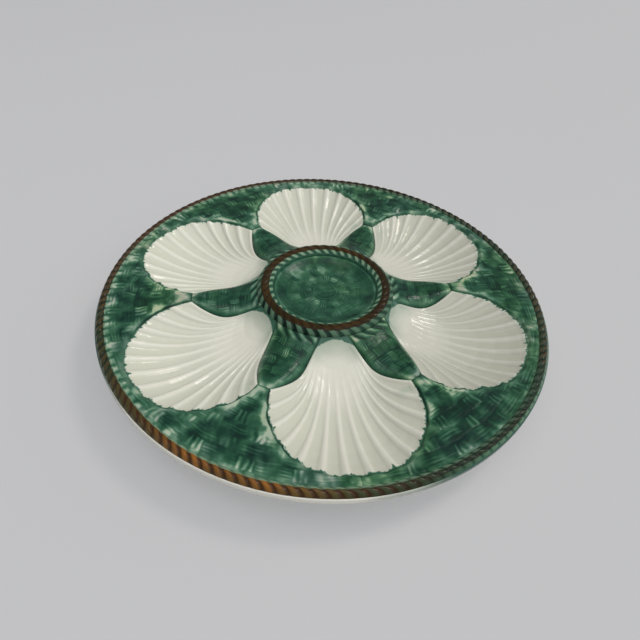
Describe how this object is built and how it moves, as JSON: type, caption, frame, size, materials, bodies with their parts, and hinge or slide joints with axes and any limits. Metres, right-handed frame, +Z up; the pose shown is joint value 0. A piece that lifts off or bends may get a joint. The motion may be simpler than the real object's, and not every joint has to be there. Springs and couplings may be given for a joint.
{
  "type": "oyster plate",
  "caption": "Round moulded earthenware oyster plate: fluted scallop-shell wells round a small raised centre well, basket-weave ground, rope borders and a turned foot ring.",
  "frame": {"origin": "centre of the foot ring's standing face, on the table", "axes": "+Z up along the plate's axis; one shell well points along -Y"},
  "size_m": [0.241, 0.241, 0.0286],
  "materials": {
    "shell_glaze": "glossy off-white glaze, faintly green where it pools",
    "green_glaze": "glossy mottled green glaze, dark in the grooves and pale sage on the edges",
    "brown_glaze": "glossy dark brown glaze with an amber stretch on the rim",
    "back_glaze": "glossy cream glaze, bare where the ring stands"
  },
  "bodies": {
    "root": {"woven_ground": "green_glaze", "shell_well_1": "shell_glaze", "shell_well_2": "shell_glaze", "shell_well_3": "shell_glaze", "shell_well_4": "shell_glaze", "shell_well_5": "shell_glaze", "shell_well_6": "shell_glaze", "basket_lobe_1": "green_glaze", "basket_lobe_2": "green_glaze", "basket_lobe_3": "green_glaze", "basket_lobe_4": "green_glaze", "basket_lobe_5": "green_glaze", "basket_lobe_6": "green_glaze", "centre_well": "green_glaze", "well_rope": "brown_glaze", "rim_rope": "brown_glaze", "foot_ring": "back_glaze"}
  },
  "joints": []
}
